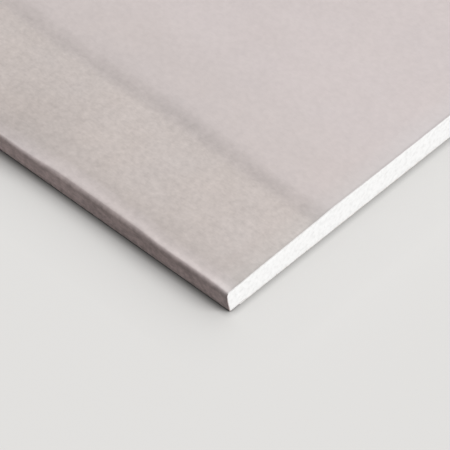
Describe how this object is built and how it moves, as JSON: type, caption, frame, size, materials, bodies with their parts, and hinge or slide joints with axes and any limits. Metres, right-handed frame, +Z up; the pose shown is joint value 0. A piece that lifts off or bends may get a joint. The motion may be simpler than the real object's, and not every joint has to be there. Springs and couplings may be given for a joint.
{
  "type": "drywall sheet",
  "caption": "Flat rectangular gypsum board with paper faces, both long edges tapered and paper-wrapped, and both ends cut square.",
  "frame": {"origin": "middle of the back, on the surface the sheet lies on", "axes": "+X along the sheet's length, +Y across its width, +Z up from its back to its face"},
  "size_m": [2.4, 1.2, 0.0125],
  "materials": {
    "gypsum": "matte, finely pored",
    "face_paper": "matte, faintly mottled",
    "back_paper": "matte, fibrous"
  },
  "bodies": {
    "root": {"gypsum_core": "gypsum", "face_paper": "face_paper", "back_paper": "back_paper"}
  },
  "joints": []
}
